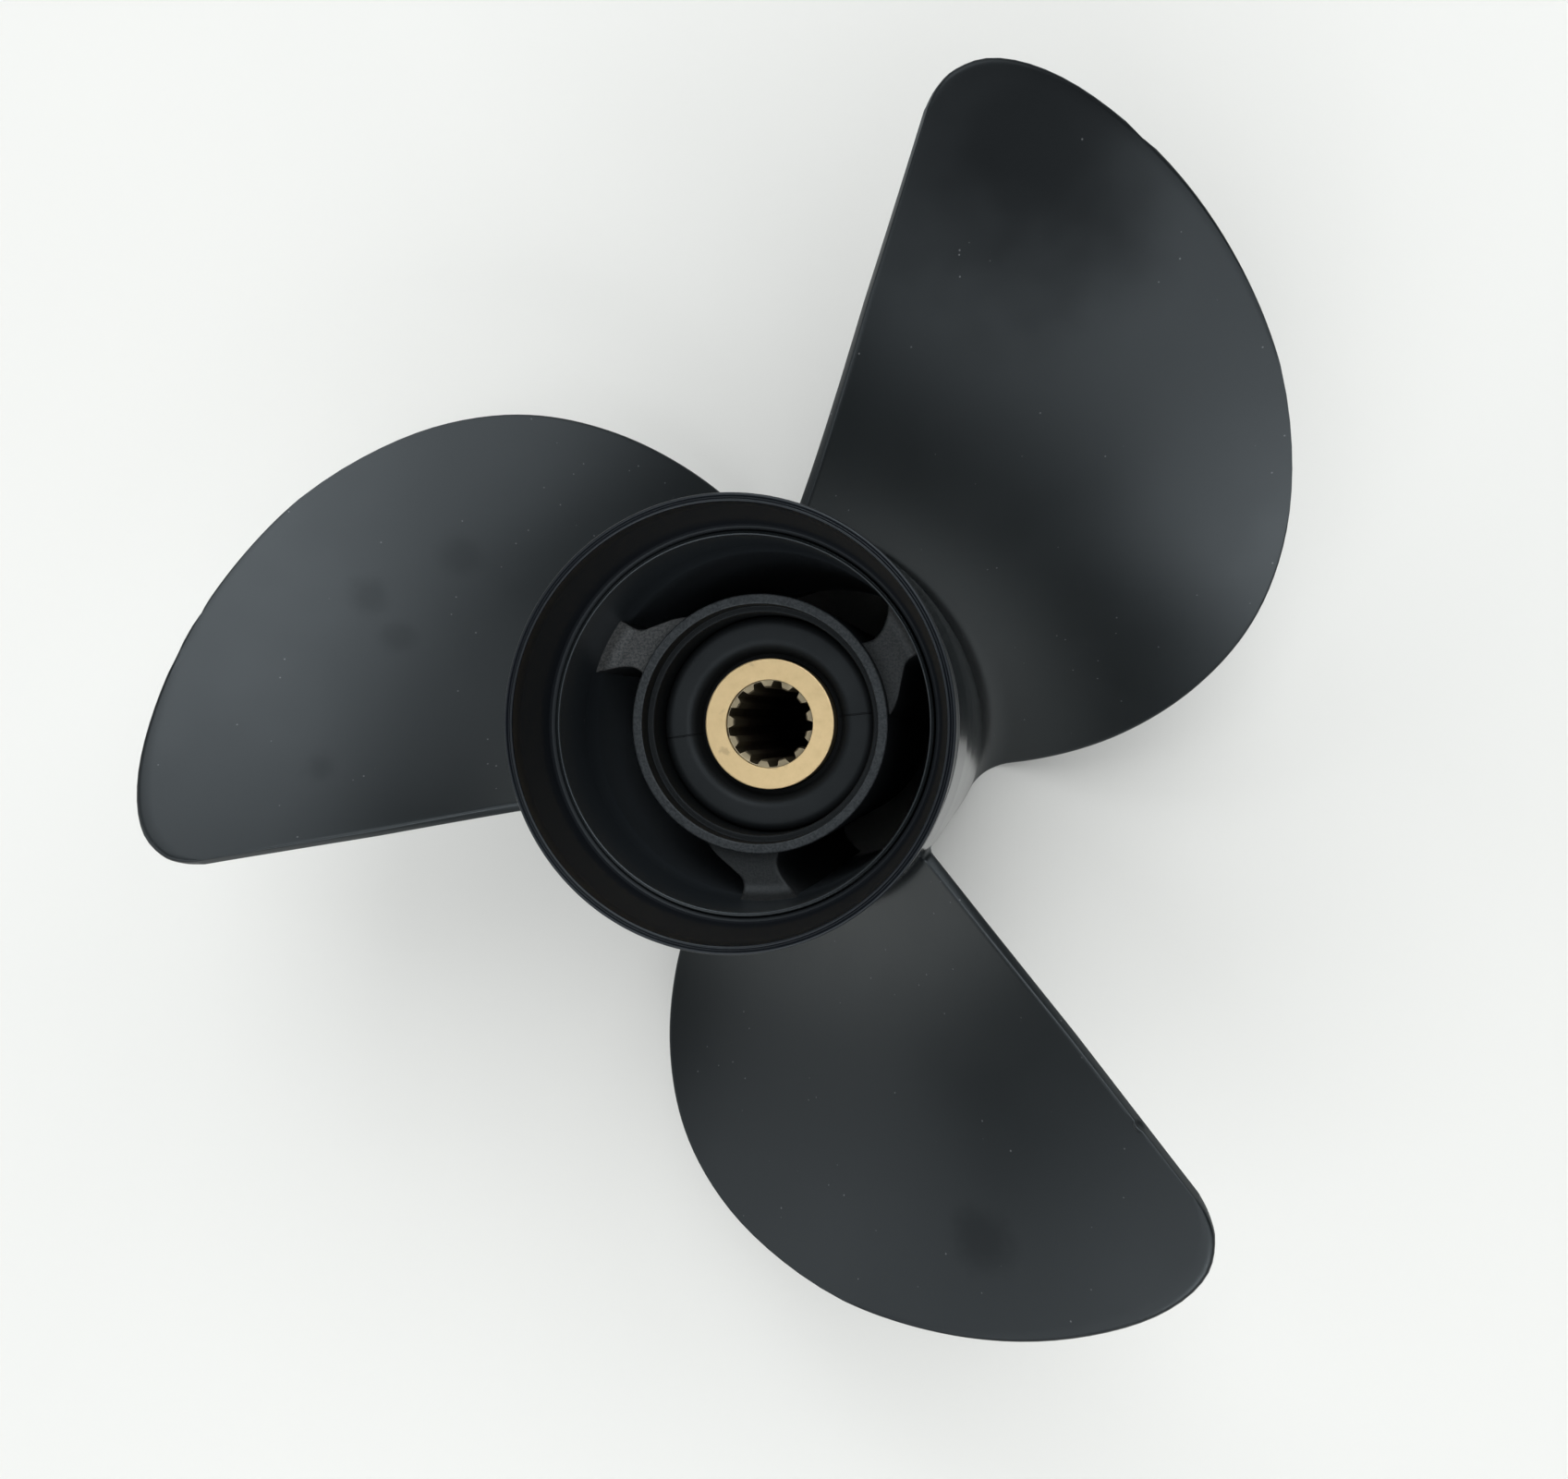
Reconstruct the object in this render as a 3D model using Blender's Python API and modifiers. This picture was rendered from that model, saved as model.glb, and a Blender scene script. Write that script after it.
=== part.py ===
# Three-bladed outboard boat propeller with a through-hub exhaust.
# The shaft axis is Z, the front face of the hub is at z = 0 and +Z points aft.
import math

import bmesh
import bpy
import numpy as np

MM = 0.001
GAP = 0.3 * MM
MERGE = 0.01 * MM
SMOOTH_ANGLE = 35.0
ROUND_STEPS = 72

# Barrel, the outer tube of the hub; its crowned outside is given as radius and height in mm
HUB_LENGTH = 173.0 * MM
BARREL_CROWN = ((49.1, 0.0), (49.8, 60.0), (50.4, 100.0), (50.5, 118.0), (50.0, 134.0), (48.8, 147.7))
BARREL_END_Z = 147.7 * MM
BARREL_EDGE = 0.6 * MM
BORE_FRONT_RADIUS = 44.4 * MM
BORE_NECK_RADIUS = 42.2 * MM
BORE_NECK_Z = 128.0 * MM
SPIGOT_RADIUS = 43.7 * MM
SPIGOT_LIP_RADIUS = 42.7 * MM
SPIGOT_EDGE = 0.4 * MM
SPIGOT_END_Z = 155.8 * MM

# Flared ring at the aft end
RING_RADIUS = 48.8 * MM
RING_FLARE_FRONT_Z = 158.0 * MM
RING_FLARE_BACK_Z = 168.0 * MM
RING_SEAT_END_Z = 154.8 * MM
RING_THROAT_RADIUS = 44.75 * MM
RIM_RADIUS = 49.6 * MM
RIM_MOUTH_RADIUS = 47.6 * MM
RIM_EDGE = 0.4 * MM
RIM_GROOVE_WIDTH = 1.0 * MM
RIM_GROOVE_DEPTH = 0.6 * MM

# Inner tube that the bush sits in
INNER_HUB_RADIUS = 31.3 * MM
INNER_HUB_FRONT_Z = 4.0 * MM
INNER_HUB_END_Z = 135.2 * MM
INNER_HUB_WALL = 2.5 * MM
INNER_HUB_EDGE = 0.5 * MM
BUSH_SEAT_RADIUS = 27.2 * MM
BUSH_SEAT_END_Z = 130.0 * MM
SHOULDER_RADIUS = 21.0 * MM
SHOULDER_THICKNESS = 6.0 * MM

# Ribs between the two tubes; their sides are given as radius in mm and angle in degrees
RIB_COUNT = 3
RIB_LOW_SIDE = ((29.0, -2.0), (33.0, 7.5), (36.0, 17.5), (39.0, 23.0), (46.0, 23.5))
RIB_HIGH_SIDE = ((29.0, 41.0), (33.0, 37.0), (36.0, 37.0), (40.0, 40.0), (46.0, 46.5))
RIB_FRONT_Z = 12.0 * MM
RIB_END_Z = 131.0 * MM

# Rubber bush and brass sleeve
BUSH_END_Z = 122.0 * MM
BUSH_EDGE_RADIUS = 2.4 * MM
BUSH_EDGE_STEPS = 4
BUSH_FRONT_EDGE = 1.5 * MM
BUSH_HOLLOW_DEPTH = 6.0 * MM
BUSH_HOLLOW_WIDTH = 2.4 * MM
BUSH_BORE_EDGE = 1.0 * MM
SLEEVE_RADIUS = 16.4 * MM
SLEEVE_FRONT_Z = 7.0 * MM
SLEEVE_END_Z = 120.8 * MM
TOOTH_COUNT = 13
TOOTH_TIP_RADIUS = 9.2 * MM
TOOTH_ROOT_RADIUS = 10.8 * MM
TOOTH_ANGLE = 94.0
TOOTH_FOOT_SHARE = 0.29
TOOTH_TIP_SHARE = 0.18
MOUTH_RADIUS = 11.0 * MM
MOUTH_DEPTH = 1.5 * MM
MOUTH_CONE = 1.5 * MM

# Blades
BLADE_COUNT = 3
TIP_RADIUS = 165.3 * MM
PITCH = 482.6 * MM
RAKE = 0.285
ROOT_REFERENCE_RADIUS = 50.0 * MM
ROOT_REFERENCE_Z = 17.8 * MM
BLADE_START_RADIUS = 44.8 * MM
TRAIL_DIRECTION = 69.7
TRAIL_OFFSET = 9.74 * MM
TRAIL_END_RADIUS = 147.0 * MM
TRAIL_BOW = 0.95
TRAIL_BOW_RADIUS = 105.0 * MM
TRAIL_BOW_POWER = 1.25
TIP_RISE_START = 0.15
TIP_RISE_POWER = 1.5
FILLET_START_RADIUS = 49.1 * MM
PRESSURE_FILLET = (2.0 * MM, 10.0 * MM)
SUCTION_FILLET = (1.5 * MM, 6.0 * MM)
EDGE_FILLET = 1.5 * MM
EDGE_RADIUS = 1.4 * MM
TRAIL_ROUNDING = 0.5 * MM
ROOT_THICKNESS = 13.0 * MM
TIP_THICKNESS = 4.0 * MM
SPAN_TAPER = 1.3
CHORD_ROUNDNESS = 0.8
TIP_THINNING = 8
BLADE_COLUMNS = 16
BLADE_ROWS = 16
OUTLINE_SAMPLES = 24
RIB_SAMPLES = 3
CUTTER_DEPTH = 40.0 * MM
CORNER_TURNS = (0.0, 45.0, 90.0)
FILLET_STEPS = (0.0, 0.03, 0.1, 0.25, 0.55, 1.0)

# Leading edge from the hub to the shoulder, then round the tip: radius in mm, angle in degrees
LEADING_EDGE = ((44.0, -18.5), (68.0, -10.1), (92.0, -2.2), (112.0, 5.1), (128.0, 12.3), (140.0, 20.1),
                (149.0, 28.4), (156.0, 36.8))
TIP_EDGE = ((156.0, 36.8), (161.1, 45.6), (164.2, 53.6), (165.3, 61.3), (164.3, 66.2), (161.2, 69.8),
            (156.0, 72.1))


def clear_scene():
    for item in list(bpy.data.objects):
        bpy.data.objects.remove(item, do_unlink=True)


def make_collection(name):
    collection = bpy.data.collections.new(name)
    bpy.context.scene.collection.children.link(collection)
    return collection


def make_material(name, colour, roughness, metallic):
    material = bpy.data.materials.new(name)
    material.use_nodes = True
    shader = material.node_tree.nodes["Principled BSDF"]
    shader.inputs["Base Color"].default_value = (*colour, 1.0)
    shader.inputs["Roughness"].default_value = roughness
    shader.inputs["Metallic"].default_value = metallic
    return material


def add_object(name, mesh, collection, material=None):
    item = bpy.data.objects.new(name, mesh)
    collection.objects.link(item)
    if material:
        mesh.materials.append(material)
    return item


def shade_smooth(mesh):
    mesh.shade_smooth()
    mesh.set_sharp_from_angle(angle=math.radians(SMOOTH_ANGLE))


def smooth_curve(points, samples):
    """Dense points of a smooth curve through the given ones."""
    knots = np.array(points, float)
    knots = np.vstack([2 * knots[0] - knots[1], knots, 2 * knots[-1] - knots[-2]])
    dense = []
    for a, b, c, d in zip(knots, knots[1:], knots[2:], knots[3:]):
        for t in np.linspace(0.0, 1.0, samples, endpoint=False):
            dense.append(0.5 * (2 * b + (c - a) * t + (2 * a - 5 * b + 4 * c - d) * t ** 2
                                + (3 * b - a - 3 * c + d) * t ** 3))
    dense.append(knots[-2])
    return np.array(dense)


def arc(centre_r, centre_z, radius, start, end, count):
    """Points of a rounded corner, with its angles in degrees."""
    turns = [math.radians(start + (end - start) * i / count) for i in range(count + 1)]
    return [(centre_r + radius * math.cos(a), centre_z + radius * math.sin(a)) for a in turns]


def turned(name, profile, collection, material=None, closed=True):
    """Turn a profile of (radius, height) points, outer side first from the top down."""
    bm = bmesh.new()
    corners = [bm.verts.new((radius, 0.0, height)) for radius, height in profile]
    following = corners[1:] + corners[:1] if closed else corners[1:]
    for start, end in zip(corners, following):
        bm.edges.new((start, end))
    mesh = bpy.data.meshes.new(name)
    bm.to_mesh(mesh)
    bm.free()
    item = add_object(name, mesh, collection, material)
    screw = item.modifiers.new("turn", "SCREW")
    screw.steps = ROUND_STEPS
    screw.render_steps = ROUND_STEPS
    screw.use_merge_vertices = True
    screw.merge_threshold = MERGE
    return item


def outline_solid(name, outlines, low, high, collection, material=None):
    """Extrude closed flat outlines from one height to another; an inner outline is a hole."""
    curve = bpy.data.curves.new(name, "CURVE")
    curve.dimensions = "2D"
    curve.fill_mode = "BOTH"
    curve.extrude = (high - low) / 2
    for outline in outlines:
        spline = curve.splines.new("POLY")
        spline.points.add(len(outline) - 1)
        for point, (x, y) in zip(spline.points, outline):
            point.co = (x, y, 0.0, 1.0)
        spline.use_cyclic_u = True
    drawn = bpy.data.objects.new(name + "_outline", curve)
    collection.objects.link(drawn)
    mesh = bpy.data.meshes.new_from_object(drawn.evaluated_get(bpy.context.evaluated_depsgraph_get()))
    bpy.data.objects.remove(drawn, do_unlink=True)
    mesh.name = name
    mesh.materials.clear()
    bm = bmesh.new()
    bm.from_mesh(mesh)
    bmesh.ops.remove_doubles(bm, verts=bm.verts, dist=MERGE)
    bmesh.ops.translate(bm, verts=bm.verts, vec=(0.0, 0.0, (low + high) / 2))
    bmesh.ops.recalc_face_normals(bm, faces=bm.faces)
    bm.to_mesh(mesh)
    bm.free()
    return add_object(name, mesh, collection, material)


def hide_cutter(item):
    item.hide_render = True
    item.display_type = "WIRE"
    return item


def cut(item, cutter, operation="DIFFERENCE"):
    boolean = item.modifiers.new(cutter.name, "BOOLEAN")
    boolean.operation = operation
    boolean.solver = "EXACT"
    boolean.object = cutter


def polar_point(radius, angle):
    """Flat point at a radius and an angle in degrees."""
    return (radius * math.cos(math.radians(angle)), radius * math.sin(math.radians(angle)))


def barrel_side():
    """Crowned outside of the barrel as (radius, height) points from the front aft."""
    return np.array(BARREL_CROWN) * MM


def barrel_radius(height):
    side = barrel_side()
    return float(np.interp(height, side[:, 1], side[:, 0]))


def passage_wall(clearance=0.0):
    """Bore of the barrel from the lip to the front: it narrows to a neck at the ribs' ends."""
    corners = ((SPIGOT_LIP_RADIUS, SPIGOT_END_Z), (BORE_NECK_RADIUS, BORE_NECK_Z), (BORE_FRONT_RADIUS, 0.0))
    return [(radius - clearance, height) for radius, height in corners]


def hub_barrel(collection, material):
    """Outer tube of the hub, with a thin spigot aft that the flared ring fits round."""
    side = [(float(radius), float(height)) for radius, height in barrel_side()][:0:-1]
    front_radius = BARREL_CROWN[0][0] * MM
    lip, neck, front = passage_wall()
    profile = [
        (lip[0] + SPIGOT_EDGE, SPIGOT_END_Z),
        (SPIGOT_RADIUS - SPIGOT_EDGE / 2, SPIGOT_END_Z),
        (SPIGOT_RADIUS, SPIGOT_END_Z - SPIGOT_EDGE / 2),
        (SPIGOT_RADIUS, BARREL_END_Z),
    ] + side + [
        (front_radius, BARREL_EDGE),
        (front_radius - BARREL_EDGE, 0.0),
        (front[0] + BARREL_EDGE, 0.0),
        (front[0], BARREL_EDGE),
        neck,
        (lip[0], SPIGOT_END_Z - SPIGOT_EDGE),
    ]
    return turned("hub_barrel", profile, collection, material)


def flared_ring(collection, material):
    """Aft ring of the hub: its mouth flares outwards and its rim has a fine groove."""
    low = BARREL_END_Z + GAP
    seat = SPIGOT_RADIUS + GAP
    groove_r = (RIM_RADIUS + RIM_MOUTH_RADIUS) / 2
    profile = [
        (groove_r, HUB_LENGTH - RIM_GROOVE_DEPTH),
        (groove_r + RIM_GROOVE_WIDTH / 2, HUB_LENGTH),
        (RIM_RADIUS - RIM_EDGE, HUB_LENGTH),
        (RIM_RADIUS, HUB_LENGTH - RIM_EDGE),
        (RIM_RADIUS, RING_FLARE_BACK_Z),
        (RING_RADIUS, RING_FLARE_FRONT_Z),
        (RING_RADIUS, low),
        (seat, low),
        (seat, RING_SEAT_END_Z),
        (RING_THROAT_RADIUS, RING_SEAT_END_Z + RIM_EDGE),
        (RIM_MOUTH_RADIUS, HUB_LENGTH - RIM_EDGE),
        (RIM_MOUTH_RADIUS + RIM_EDGE / 2, HUB_LENGTH),
        (groove_r - RIM_GROOVE_WIDTH / 2, HUB_LENGTH),
    ]
    return turned("flared_ring", profile, collection, material)


def inner_hub(collection, material):
    """Inner tube that the rubber bush is pressed into, with a shoulder at its front."""
    bore = INNER_HUB_RADIUS - INNER_HUB_WALL
    shoulder_z = INNER_HUB_FRONT_Z + SHOULDER_THICKNESS
    profile = [
        (INNER_HUB_RADIUS - INNER_HUB_EDGE, INNER_HUB_END_Z),
        (INNER_HUB_RADIUS, INNER_HUB_END_Z - INNER_HUB_EDGE),
        (INNER_HUB_RADIUS, INNER_HUB_FRONT_Z + INNER_HUB_EDGE),
        (INNER_HUB_RADIUS - INNER_HUB_EDGE, INNER_HUB_FRONT_Z),
        (SHOULDER_RADIUS, INNER_HUB_FRONT_Z),
        (SHOULDER_RADIUS, shoulder_z),
        (BUSH_SEAT_RADIUS, shoulder_z),
        (BUSH_SEAT_RADIUS, BUSH_SEAT_END_Z),
        (bore, BUSH_SEAT_END_Z),
        (bore, INNER_HUB_END_Z - INNER_HUB_EDGE),
        (bore + INNER_HUB_EDGE, INNER_HUB_END_Z),
    ]
    return turned("inner_hub", profile, collection, material)


def rubber_bush(collection, material):
    """Pressed rubber bush, rounded at its aft edge and hollowed beside the sleeve."""
    outer = BUSH_SEAT_RADIUS - GAP
    inner = SLEEVE_RADIUS + GAP
    low = INNER_HUB_FRONT_Z + SHOULDER_THICKNESS + GAP
    hollow_z = BUSH_END_Z - BUSH_HOLLOW_DEPTH
    edge = BUSH_EDGE_RADIUS
    rounded = arc(outer - edge, BUSH_END_Z - edge, edge, 90.0, 0.0, BUSH_EDGE_STEPS)
    profile = [(inner + BUSH_HOLLOW_WIDTH, BUSH_END_Z)] + rounded + [
        (outer, low + BUSH_FRONT_EDGE),
        (outer - BUSH_FRONT_EDGE, low),
        (inner + BUSH_BORE_EDGE, low),
        (inner, low + BUSH_BORE_EDGE),
        (inner, hollow_z),
        (inner + BUSH_HOLLOW_WIDTH / 2, hollow_z),
    ]
    return turned("rubber_bush", profile, collection, material)


def tooth_outline():
    """Bore of the sleeve: gaps at the root radius between teeth that point inwards."""
    pitch = 360.0 / TOOTH_COUNT
    corners = ((-TOOTH_FOOT_SHARE, TOOTH_ROOT_RADIUS), (-TOOTH_TIP_SHARE, TOOTH_TIP_RADIUS),
               (0.0, TOOTH_TIP_RADIUS), (TOOTH_TIP_SHARE, TOOTH_TIP_RADIUS),
               (TOOTH_FOOT_SHARE, TOOTH_ROOT_RADIUS), (0.5, TOOTH_ROOT_RADIUS))
    return [polar_point(radius, TOOTH_ANGLE + pitch * (tooth + share))
            for tooth in range(TOOTH_COUNT) for share, radius in corners]


def splined_sleeve(collection, cutters, material):
    """Brass sleeve with straight internal teeth, which start behind a round mouth."""
    circle = [polar_point(SLEEVE_RADIUS, 360.0 * i / ROUND_STEPS) for i in range(ROUND_STEPS)]
    outlines = [circle, tooth_outline()]
    sleeve = outline_solid("splined_sleeve", outlines, SLEEVE_FRONT_Z, SLEEVE_END_Z, collection, material)
    over = SLEEVE_END_Z + MOUTH_DEPTH
    mouth_low = SLEEVE_END_Z - MOUTH_DEPTH
    cone_low = mouth_low - MOUTH_CONE
    cone_radius = TOOTH_TIP_RADIUS - MOUTH_CONE / 2
    mouth = [(0.0, over), (MOUTH_RADIUS, over), (MOUTH_RADIUS, mouth_low), (cone_radius, cone_low),
             (0.0, cone_low)]
    cut(sleeve, hide_cutter(turned("sleeve_mouth", mouth, cutters, closed=False)))
    shade_smooth(sleeve.data)
    return sleeve


def rib_outline(angle):
    """Web that leans from the inner tube to the barrel, wider at both ends."""
    low_side = smooth_curve(RIB_LOW_SIDE, RIB_SAMPLES)
    high_side = smooth_curve(RIB_HIGH_SIDE, RIB_SAMPLES)[::-1]
    return [polar_point(radius * MM, angle + turn) for radius, turn in np.vstack([low_side, high_side])]


def ribs(collection, cutters, material):
    """The webs stand in the exhaust passage, clear of both walls by the gap."""
    inner = INNER_HUB_RADIUS + GAP
    profile = passage_wall(GAP) + [(inner, 0.0), (inner, SPIGOT_END_Z)]
    passage = hide_cutter(turned("exhaust_passage", profile, cutters))
    for i in range(RIB_COUNT):
        outline = rib_outline(360.0 / RIB_COUNT * i)
        rib = outline_solid(f"rib_{i + 1}", [outline], RIB_FRONT_Z, RIB_END_Z, collection, material)
        cut(rib, passage, "INTERSECT")
        shade_smooth(rib.data)


def trailing_angle(radius):
    """The trailing edge runs beside the axis, straight in plan but for a slight bow near the hub."""
    inward = max(0.0, (TRAIL_BOW_RADIUS - radius) / (TRAIL_BOW_RADIUS - ROOT_REFERENCE_RADIUS))
    straight = TRAIL_DIRECTION + math.degrees(math.asin(TRAIL_OFFSET / radius))
    return straight - TRAIL_BOW * inward ** TRAIL_BOW_POWER


def blade_outline():
    """Leading edge as angle over radius, and the tip as radius and angle over its length."""
    corner = (TRAIL_END_RADIUS / MM, trailing_angle(TRAIL_END_RADIUS))
    edge = smooth_curve(LEADING_EDGE + TIP_EDGE[1:] + (corner,), OUTLINE_SAMPLES)
    split = (len(LEADING_EDGE) - 1) * OUTLINE_SAMPLES
    leading = edge[:split + 1] * (MM, 1.0)
    tip = edge[split:][::-1] * (MM, 1.0)
    turns = np.radians(tip[:, 1])
    flat = np.column_stack([tip[:, 0] * np.cos(turns), tip[:, 0] * np.sin(turns)])
    lengths = np.concatenate([[0.0], np.cumsum(np.linalg.norm(np.diff(flat, axis=0), axis=1))])
    return leading, tip, lengths / lengths[-1]


def blade_place(u, v, outline):
    """Radius and angle at a share u from trailing to leading edge and v from root to tip."""
    leading, tip, shares = outline
    start = BLADE_START_RADIUS
    shoulder = tip[-1, 0]
    rise = max(0.0, (v - TIP_RISE_START) / (1 - TIP_RISE_START)) ** TIP_RISE_POWER

    def radius_at(share):
        return start + v * (shoulder - start) + rise * (np.interp(share, shares, tip[:, 0]) - shoulder)

    tip_angle = np.interp(u, shares, tip[:, 1])
    trail = trailing_angle(radius_at(0.0))
    lead = np.interp(radius_at(1.0), leading[:, 0], leading[:, 1])
    root_trail = trailing_angle(start)
    root_lead = np.interp(start, leading[:, 0], leading[:, 1])
    root_angle = root_trail + u * (root_lead - root_trail)
    trail_bow = trail - (root_trail + v * (tip[0, 1] - root_trail))
    lead_bow = lead - (root_lead + v * (tip[-1, 1] - root_lead))
    return radius_at(u), (1 - v) * root_angle + v * tip_angle + (1 - u) * trail_bow + u * lead_bow


def blade_thickness(radius, u, v):
    """Thickest at the root and in the middle of the blade's width, and thin all round the edge."""
    share = (radius - ROOT_REFERENCE_RADIUS) / (TIP_RADIUS - ROOT_REFERENCE_RADIUS)
    share = min(max(share, 0.0), 1.0)
    middle = TIP_THICKNESS + (ROOT_THICKNESS - TIP_THICKNESS) * (1 - share) ** SPAN_TAPER
    across = (4 * u * (1 - u)) ** CHORD_ROUNDNESS * (1 - v ** TIP_THINNING)
    return 2 * EDGE_RADIUS + (middle - 2 * EDGE_RADIUS) * across


def fillet_offset(above, fillet):
    """How far a fillet stands out from a blade's face at a height above the barrel."""
    above = min(max(above, 0.0), fillet)
    return fillet - math.sqrt(fillet ** 2 - (fillet - above) ** 2)


def blade_point(radius, angle, u, v, edge, side):
    """A point of one face of a blade, on the cylinder of its radius."""
    depth, spread, run = edge
    slope = math.atan2(PITCH, 2 * math.pi * radius)
    climb = PITCH * angle / 360.0 + RAKE * (radius - ROOT_REFERENCE_RADIUS)
    above = radius - barrel_radius(ROOT_REFERENCE_Z + climb)
    if side > 0:
        fillet = PRESSURE_FILLET[0] + u * (PRESSURE_FILLET[1] - PRESSURE_FILLET[0])
        out = spread * fillet_offset(above, fillet) - depth
    else:
        fillet = SUCTION_FILLET[0] + u * (SUCTION_FILLET[1] - SUCTION_FILLET[0])
        below = max(blade_thickness(radius, u, v) - depth, depth)
        out = -spread * fillet_offset(above, fillet) - below
    along = run * fillet_offset(above, EDGE_FILLET)
    around = along * math.cos(slope) - out * math.sin(slope)
    height = along * math.sin(slope) + out * math.cos(slope)
    turn = math.radians(angle) + around / radius
    return (radius * math.cos(turn), radius * math.sin(turn), ROOT_REFERENCE_Z + climb + height)


def edge_steps(corner):
    """Inset and turn of the points that round a corner of an edge, from its middle out."""
    return [(corner * (1 - math.cos(math.radians(turn))), math.radians(turn)) for turn in CORNER_TURNS]


def blade_columns(chord):
    """Share of the chord of each column, and its edge: depth, share of the fillet and run."""
    columns = [(0.0, (EDGE_RADIUS, 0.0, 1.0))]
    for inset, turn in edge_steps(TRAIL_ROUNDING):
        columns.append((inset / chord, (TRAIL_ROUNDING * (1 - math.sin(turn)), 1.0, math.cos(turn))))
    lead = []
    for inset, turn in edge_steps(EDGE_RADIUS):
        depth = EDGE_RADIUS * (1 - math.sin(turn))
        lead.append((1 - inset / chord, (depth, math.sin(turn), -math.cos(turn))))
    low, high = columns[-1][0], lead[-1][0]
    for i in range(1, BLADE_COLUMNS):
        columns.append((low + (high - low) * i / BLADE_COLUMNS, (0.0, 1.0, 0.0)))
    return columns + lead[::-1]


def blade_rows():
    """Share from root to tip and edge depth of each row."""
    span = TIP_EDGE[0][0] * MM - BLADE_START_RADIUS
    foot = FILLET_START_RADIUS - BLADE_START_RADIUS
    fillet = [(foot + PRESSURE_FILLET[1] * step) / span for step in FILLET_STEPS]
    tip = [(1.0 - inset / span, EDGE_RADIUS * (1 - math.sin(turn)))
           for inset, turn in edge_steps(EDGE_RADIUS)]
    first, last = fillet[-1], tip[-1][0]
    rows = [(0.0, 0.0)] + [(share, 0.0) for share in fillet]
    rows += [(first + (last - first) * i / BLADE_ROWS, 0.0) for i in range(1, BLADE_ROWS)]
    return rows + tip[::-1]


def blade_mesh():
    """Two faces laid on cylinder sections, joined along the edges and closed at the root."""
    outline = blade_outline()
    rows = blade_rows()
    columns = len(blade_columns(1.0))
    bm = bmesh.new()
    root_edges = []
    for side in (1.0, -1.0):
        grid = bmesh.ops.create_grid(bm, x_segments=columns - 1, y_segments=len(rows) - 1, size=0.5)
        placed = {}
        for vert in grid["verts"]:
            column = round((vert.co.x + 0.5) * (columns - 1))
            row = round((vert.co.y + 0.5) * (len(rows) - 1))
            placed[column, row] = vert
        for row, (v, tip_depth) in enumerate(rows):
            ends = [blade_place(u, v, outline) for u in (0.0, 1.0)]
            mean_radius = (ends[0][0] + ends[1][0]) / 2
            chord = math.radians(ends[0][1] - ends[1][1]) * math.hypot(mean_radius, PITCH / (2 * math.pi))
            for column, (u, (depth, spread, run)) in enumerate(blade_columns(chord)):
                radius, angle = blade_place(u, v, outline)
                edge = (max(depth, tip_depth), spread, run)
                placed[column, row].co = blade_point(radius, angle, u, v, edge, side)
        for column in range(columns - 1):
            root_edges.append(bm.edges.get((placed[column, 0], placed[column + 1, 0])))
    bmesh.ops.bridge_loops(bm, edges=root_edges)
    bmesh.ops.remove_doubles(bm, verts=bm.verts, dist=MERGE)
    bmesh.ops.recalc_face_normals(bm, faces=bm.faces)
    bmesh.ops.triangulate(bm, faces=bm.faces)
    mesh = bpy.data.meshes.new("blade")
    bm.to_mesh(mesh)
    bm.free()
    shade_smooth(mesh)
    return mesh


def blades(collection, cutters, material):
    """Equal blades, trimmed clear of the barrel and flush with the hub's front face."""
    reach = 2 * TIP_RADIUS
    low = -CUTTER_DEPTH
    side = [(float(radius) + GAP, float(height)) for radius, height in barrel_side()][::-1]
    space = [(0.0, HUB_LENGTH), (side[0][0], HUB_LENGTH)] + side + [(side[-1][0], low), (0.0, low)]
    barrel_space = hide_cutter(turned("barrel_space", space, cutters, closed=False))
    below = [(0.0, 0.0), (reach, 0.0), (reach, low), (0.0, low)]
    below_front_face = hide_cutter(turned("below_front_face", below, cutters, closed=False))
    mesh = blade_mesh()
    mesh.materials.append(material)
    for i in range(BLADE_COUNT):
        blade = add_object(f"blade_{i + 1}", mesh, collection)
        blade.rotation_euler = (0.0, 0.0, 2 * math.pi / BLADE_COUNT * i)
        cut(blade, barrel_space)
        cut(blade, below_front_face)


def main():
    clear_scene()
    propeller = make_collection("propeller")
    cutters = make_collection("cutters")
    painted = make_material("black_painted_aluminium", (0.035, 0.038, 0.041), 0.5, 0.0)
    ring_paint = make_material("black_painted_ring", (0.03, 0.028, 0.028), 0.45, 0.0)
    rubber = make_material("black_rubber", (0.022, 0.023, 0.025), 0.7, 0.0)
    brass = make_material("brass", (0.72, 0.56, 0.33), 0.35, 1.0)
    for item in (
        hub_barrel(propeller, painted),
        flared_ring(propeller, ring_paint),
        inner_hub(propeller, painted),
        rubber_bush(propeller, rubber),
    ):
        shade_smooth(item.data)
    splined_sleeve(propeller, cutters, brass)
    ribs(propeller, cutters, painted)
    blades(propeller, cutters, painted)


main()
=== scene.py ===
import math

import bmesh
import bpy
import numpy as np
from mathutils import Matrix, Vector


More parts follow.
